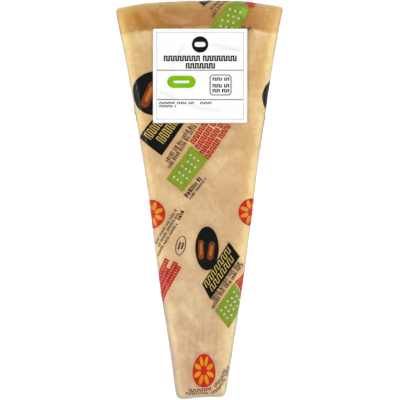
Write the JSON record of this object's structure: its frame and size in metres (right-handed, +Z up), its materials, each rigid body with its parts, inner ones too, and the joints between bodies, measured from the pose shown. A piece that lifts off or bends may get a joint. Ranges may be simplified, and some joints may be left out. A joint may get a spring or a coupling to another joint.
{
  "type": "parmesan chunk in clear film",
  "caption": "Long blunt-tipped wedge of hard aged cheese with its rind, sealed tight in clear printed film, with a square white paper label on top.",
  "frame": {"origin": "on the resting face, under the middle of the wedge's box", "axes": "+Z up, from the resting face to the labelled face; +Y along the wedge, from the blunt tip to the rind; +X to the right of someone who looks down with the rind at the top"},
  "size_m": [0.0756, 0.1798, 0.0244],
  "materials": {
    "cheese": "pale straw-tan aged cheese with an amber rind, seen through clear film",
    "clear_film": "thin clear glossy shrink film, faintly creased",
    "print": "glossy flexographic ink in green, black, red, yellow and brown",
    "paper": "white semi-matt label paper with fine black rules"
  },
  "bodies": {
    "root": {"sealed_wedge": "cheese", "label": "paper"}
  },
  "joints": []
}
